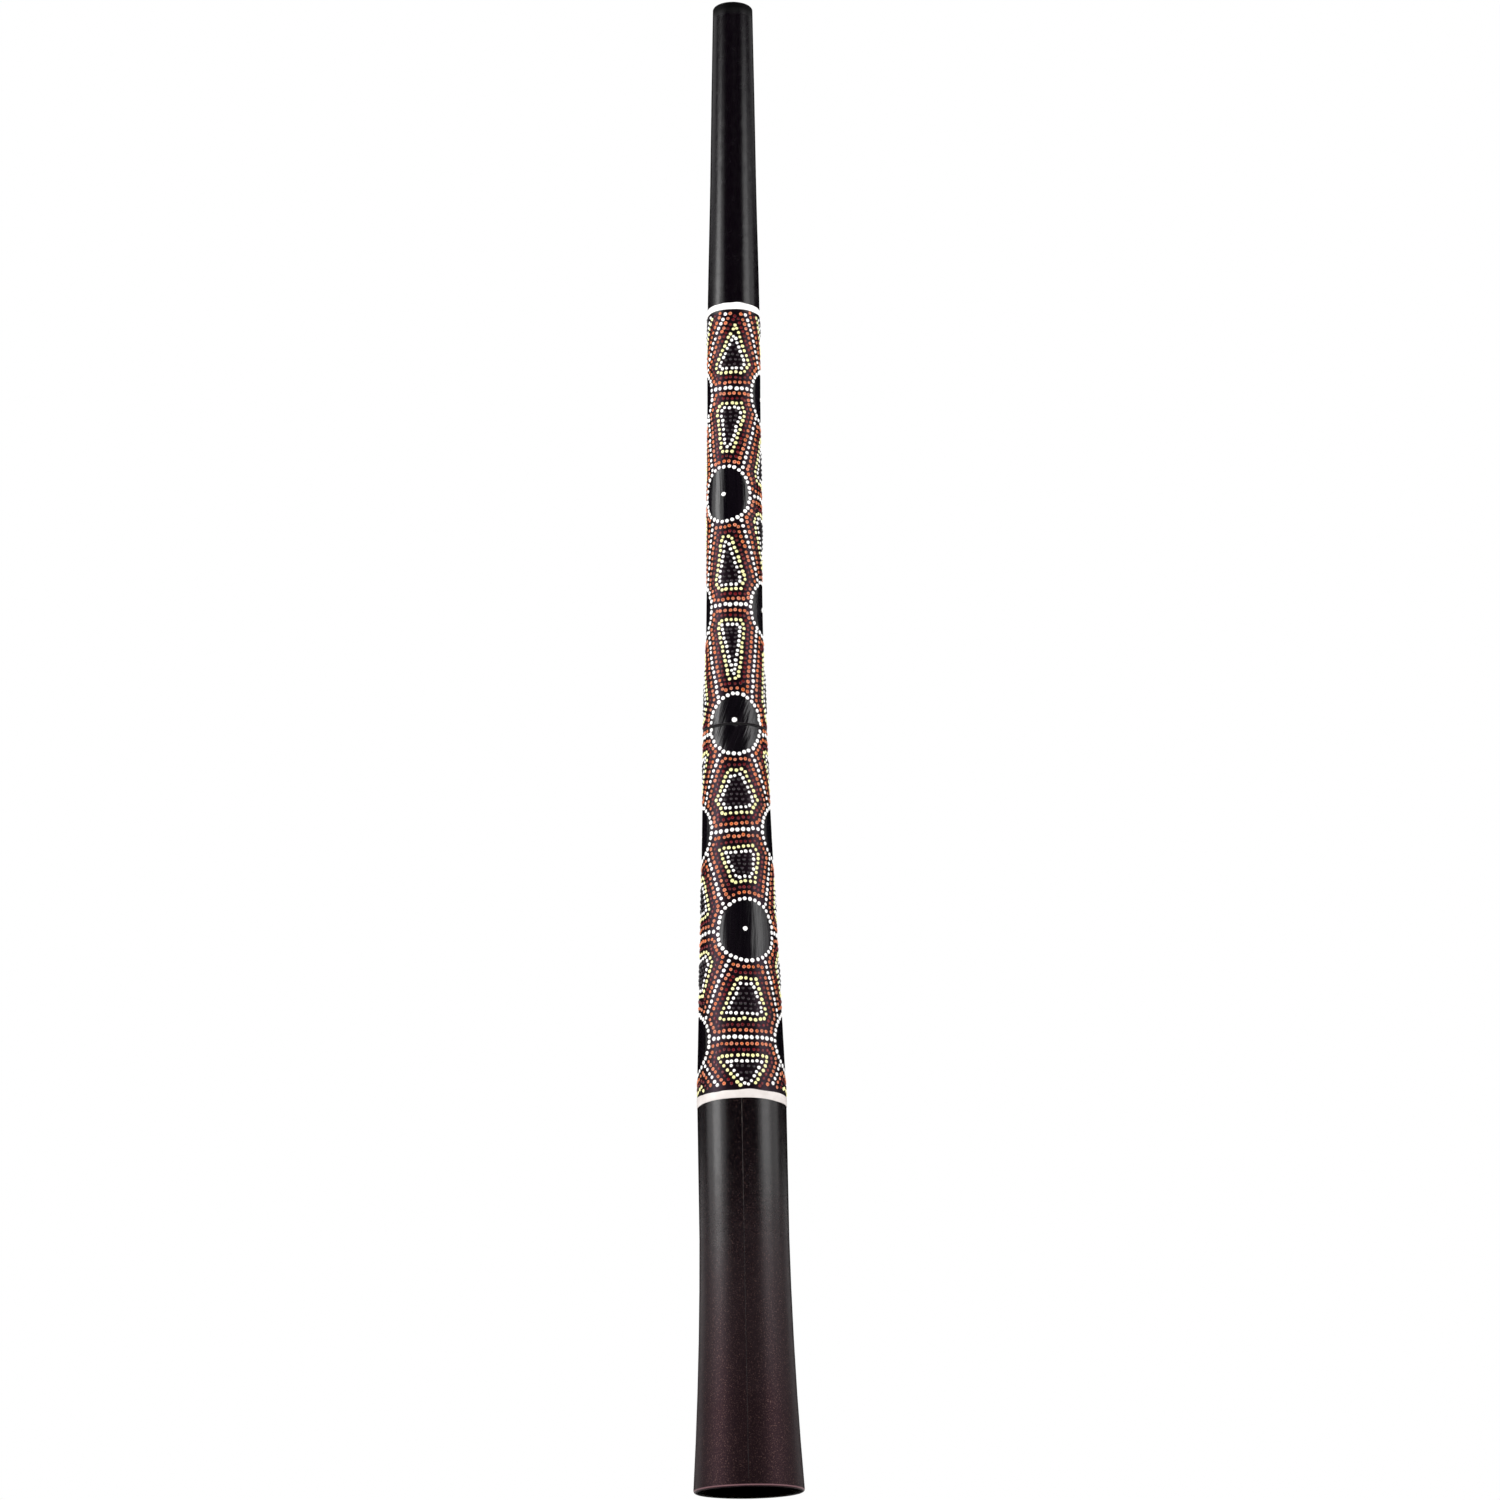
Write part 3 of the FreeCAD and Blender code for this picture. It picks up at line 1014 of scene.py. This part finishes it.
def paint_dots():
    white = linear(252, 250, 248)
    paints = {
        "white": dot_paint("white_dots", linear(238, 236, 240), white, white, 0.34, 0.04),
        "cream": dot_paint(
            "cream_dots", linear(250, 244, 160), linear(252, 248, 180), linear(236, 226, 156), 0.34, 0.14
        ),
        "orange": dot_paint(
            "orange_dots", linear(178, 68, 28), linear(222, 126, 78), linear(216, 136, 98), 0.3, 0.22
        ),
        "red": dot_paint("red_dots", linear(92, 4, 10), linear(116, 8, 20), linear(84, 8, 18), 0.2, 0.3),
        # The black dots' light core is a painted highlight on the crest of each glossy dome.
        "black": dot_paint("black_dots_painted_glint", linear(62, 46, 56), linear(14, 8, 13), linear(5, 2, 5), 0.16),
    }
    dots = painted_dots()
    for paint, material in paints.items():
        for body in ("bell_section", "mouth_section"):
            chosen = [d for d in dots if d.paint == paint and body_at(d.height) == body]
            name = f"{paint}_dots_{body.split('_')[0]}"
            new_piece(name, dots_mesh(name, chosen), material, body)


def paint_eyes():
    coats = (
        brushed_black("eye_black_smooth", 2, 0.15, 0.22),
        brushed_black("eye_black_slanting", -22, 0.22, 0.6),
        brushed_black("eye_black_straight", -3, 0.2, 0.45),
    )
    for side, column in zip(("front", "right", "back", "left"), COLUMNS):
        for number, eye in enumerate(column[1:-1]):
            eye_patch(f"eye_{side}_{number + 1}", eye, coats[number % len(coats)])


def paint_bands():
    # Painted shade: the lower band is the same white paint as the upper one, coloured greyer because it gets
    # less light.
    lower = band_paint("lower_band_white_painted_shade", linear(222, 215, 212), linear(204, 195, 191))
    upper = band_paint("upper_band_white", linear(252, 251, 250), linear(236, 233, 230))
    low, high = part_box("lower_band")
    piece = new_piece(
        "painted_lower_band",
        band_mesh("painted_lower_band", low.z / MM + 0.1, high.z / MM - 0.9, 0.6, 1.6, 0, side_drop=1.6),
        lower, "bell_section",
    )
    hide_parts("lower_band")
    low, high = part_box("upper_band")
    tip = (high.x - low.x) / 2 / MM * LEAN
    piece = new_piece(
        "painted_upper_band",
        band_mesh("painted_upper_band", low.z / MM + tip, high.z / MM - tip, 0.7, 0.9, tip),
        upper, "mouth_section",
    )
    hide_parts("upper_band")


def glue_line():
    """Pale dried glue, clear of lacquer just under the band and lacquered over lower down."""
    m = Maker("glue_line")
    parts = m.node("ShaderNodeSeparateXYZ")
    m.link(m.place(), parts.inputs[0])
    grit = m.noise(m.place(), 420, 3.0, 0.7)
    height = m.math("ADD", parts.outputs[2], m.math("MULTIPLY", m.math("SUBTRACT", grit, 0.5), 0.12))
    bare = m.math("MULTIPLY", m.range(height, 0.2, 0.34), m.range(m.noise(m.place(), 190, 2.0), 0.4, 0.62))
    colour = m.mix(bare, linear(12, 6, 9), linear(104, 94, 86))
    return m.finish(colour, m.range(grit, 0.3, 0.7, 0.35, 0.5), m.bump(grit, 0.4, 0.0003))


def add_seams():
    glue = glue_line()
    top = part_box("lower_band")[0].z / MM + 0.6
    for side, azimuth in (("front", 0), ("back", 180)):
        name = f"glue_seam_{side}"
        new_piece(name, seam_mesh(name, azimuth, 6, top), glue, "bell_section")


def finish_nodes():
    bell = lacquer(
        "bell_lacquer_satin", linear(6, 2, 5), linear(48, 32, 37), linear(140, 108, 100),
        smooth_gloss=0.22, rough_gloss=0.42, peel=0.8, bell_metallic=0.88, lean=0.0,
    )
    mouth = lacquer(
        "mouth_lacquer_satin", linear(5, 1, 6), linear(9, 5, 8), linear(60, 52, 54),
        smooth_gloss=0.24, rough_gloss=0.3, peel=0.5, bell_metallic=0.0, lean=LEAN,
    )
    finishes = {
        "bell_left_half": bell,
        "bell_right_half": bell,
        "mouth_left_half": mouth,
        "mouth_right_half": mouth,
        "joint_sleeve": turned_plastic("sleeve_acetal"),
        "lower_o_ring": rubber("seal_black", linear(10, 10, 11), linear(26, 26, 28), 0.35),
        "upper_o_ring": rubber("seal_black_upper", linear(10, 10, 11), linear(26, 26, 28), 0.35),
        "joint_gasket": rubber("gasket_black", linear(4, 4, 5), linear(11, 11, 12), 0.7),
    }
    for name, material in finishes.items():
        mesh = nodes[name].data
        mesh.materials.clear()
        mesh.materials.append(material)


# ---------------------------------------------------------------- floor, lights and camera

FLOOR_REACH = 12.0
FLOOR_LEVEL = -0.0006
FLOOR_SIDES = 48


def add_floor():
    """A pale floor just under the bell. Seen from below, as in the photo's low view, it is clear."""
    m = Maker("pale_floor")
    blotch = m.range(m.noise(m.place(), 3.0, 3.0), 0.3, 0.7)
    colour = m.mix(blotch, linear(236, 235, 233), linear(242, 241, 240))
    m.finish(colour)
    m.shader.inputs["Roughness"].default_value = 0.7
    output = m.tree.nodes["Material Output"]
    clear = m.node("ShaderNodeBsdfTransparent")
    below = m.node("ShaderNodeNewGeometry").outputs["Backfacing"]
    blend = m.node("ShaderNodeMixShader")
    m.link(below, blend.inputs[0])
    m.link(m.shader.outputs[0], blend.inputs[1])
    m.link(clear.outputs[0], blend.inputs[2])
    m.link(blend.outputs[0], output.inputs["Surface"])
    mesh = bpy.data.meshes.new("floor")
    turns = [math.tau * side / FLOOR_SIDES for side in range(FLOOR_SIDES)]
    rim = [(FLOOR_REACH * math.cos(turn), FLOOR_REACH * math.sin(turn), FLOOR_LEVEL) for turn in turns]
    mesh.from_pydata(rim, [], [tuple(range(FLOOR_SIDES))])
    mesh.materials.append(m.material)
    floor = bpy.data.objects.new("floor", mesh)
    bpy.context.scene.collection.objects.link(floor)


def strip_light(name, azimuth, distance, width, low, high, radiance, lean):
    """A tall soft box standing at an azimuth, facing the tube, its top leaning sideways by some degrees."""
    light = bpy.data.lights.new(name, "AREA")
    light.shape = "RECTANGLE"
    light.size = width
    light.size_y = high - low
    light.energy = radiance * math.pi * width * (high - low)
    box = bpy.data.objects.new(name, light)
    turn = math.radians(azimuth)
    spot = Vector((math.sin(turn) * distance, -math.cos(turn) * distance, (low + high) / 2))
    box.location = spot
    facing = Vector((spot.x, spot.y, 0)).to_track_quat("Z", "Y").to_matrix()
    box.rotation_euler = (facing @ Matrix.Rotation(math.radians(lean), 3, "Z")).to_euler()
    box.visible_camera = False
    bpy.context.scene.collection.objects.link(box)


def disc_light(name, place, target, size, radiance):
    """A round soft box at a place, turned to face a target."""
    light = bpy.data.lights.new(name, "AREA")
    light.shape = "DISK"
    light.size = size
    light.energy = radiance * math.pi * math.pi * size * size / 4
    box = bpy.data.objects.new(name, light)
    box.location = place
    box.rotation_euler = (Vector(place) - Vector(target)).to_track_quat("Z", "Y").to_euler()
    box.visible_camera = False
    bpy.context.scene.collection.objects.link(box)
    return box


# Tall soft boxes: name, azimuth, distance, width, bottom, top, radiance and sideways lean in degrees.
STRIPS = (
    ("left_core", -71, 1.7, 0.66, 0.45, 2.0, 3.6, 8),
    ("left_halo", -73, 1.8, 2.0, 0.45, 2.0, 1.4, 6),
    ("right_core", 63, 1.9, 0.8, 0.45, 2.06, 1.9, 0),
    ("right_halo", 74, 2.0, 2.3, 0.45, 2.06, 1.15, 0),
    ("left_panel", -122, 2.2, 1.5, 2.08, 3.0, 0.5, 0),
    ("right_panel", 124, 2.2, 1.5, 2.08, 3.0, 0.34, 0),
    ("left_low", -128, 2.0, 1.5, 0.1, 0.62, 0.6, 0),
    ("right_low", 128, 2.0, 1.5, 0.1, 0.62, 0.55, 0),
)
WORLD_LIGHT = 0.75


def add_lights():
    for strip in STRIPS:
        strip_light(*strip)
    front = disc_light("front_fill", (0.0, -3.2, 1.6), (0, 0, 0.7), 2.4, 1.3)
    front.visible_glossy = False
    disc_light("front_top", (0.2, -1.8, 3.4), (0, 0, 0.7), 0.9, 4.5)
    disc_light("back_top", (0.3, 1.6, 3.6), (0, 0, 0.7), 1.4, 5.0)


def add_world():
    """An even soft light from all round, which the camera sees as plain white behind the object."""
    world = bpy.data.worlds.new("studio")
    bpy.context.scene.world = world
    world.use_nodes = True
    world.cycles_visibility.glossy = False
    tree_nodes = world.node_tree.nodes
    links = world.node_tree.links
    background = tree_nodes["Background"]
    background.inputs["Strength"].default_value = WORLD_LIGHT
    background.inputs["Color"].default_value = (1, 1, 1, 1)
    seen = tree_nodes.new("ShaderNodeBackground")
    seen.inputs["Color"].default_value = (1, 1, 1, 1)
    seen.inputs["Strength"].default_value = 1.0
    path = tree_nodes.new("ShaderNodeLightPath")
    blend = tree_nodes.new("ShaderNodeMixShader")
    links.new(path.outputs["Is Camera Ray"], blend.inputs[0])
    links.new(background.outputs[0], blend.inputs[1])
    links.new(seen.outputs[0], blend.inputs[2])
    links.new(blend.outputs[0], tree_nodes["World Output"].inputs["Surface"])


CAMERA_PLACE = (0.0124, -3.588, -0.416)
CAMERA_LENS = 106.64
CAMERA_SENSOR = 36
CAMERA_TILT = 90 + 16.10
CAMERA_ROLL = -1.13


def add_camera():
    """The photo's view: from low in front, looking up along the tube, with a slight roll."""
    data = bpy.data.cameras.new("camera")
    data.lens = CAMERA_LENS
    data.sensor_width = CAMERA_SENSOR
    camera = bpy.data.objects.new("camera", data)
    tilt = Matrix.Rotation(math.radians(CAMERA_TILT), 4, "X")
    roll = Matrix.Rotation(math.radians(CAMERA_ROLL), 4, "Z")
    camera.matrix_world = Matrix.Translation(Vector(CAMERA_PLACE)) @ tilt @ roll
    bpy.context.scene.collection.objects.link(camera)
    bpy.context.scene.camera = camera
    bpy.context.scene.view_settings.view_transform = "Standard"


finish_nodes()
paint_bands()
paint_eyes()
add_seams()
paint_dots()
add_floor()
add_lights()
add_world()
add_camera()
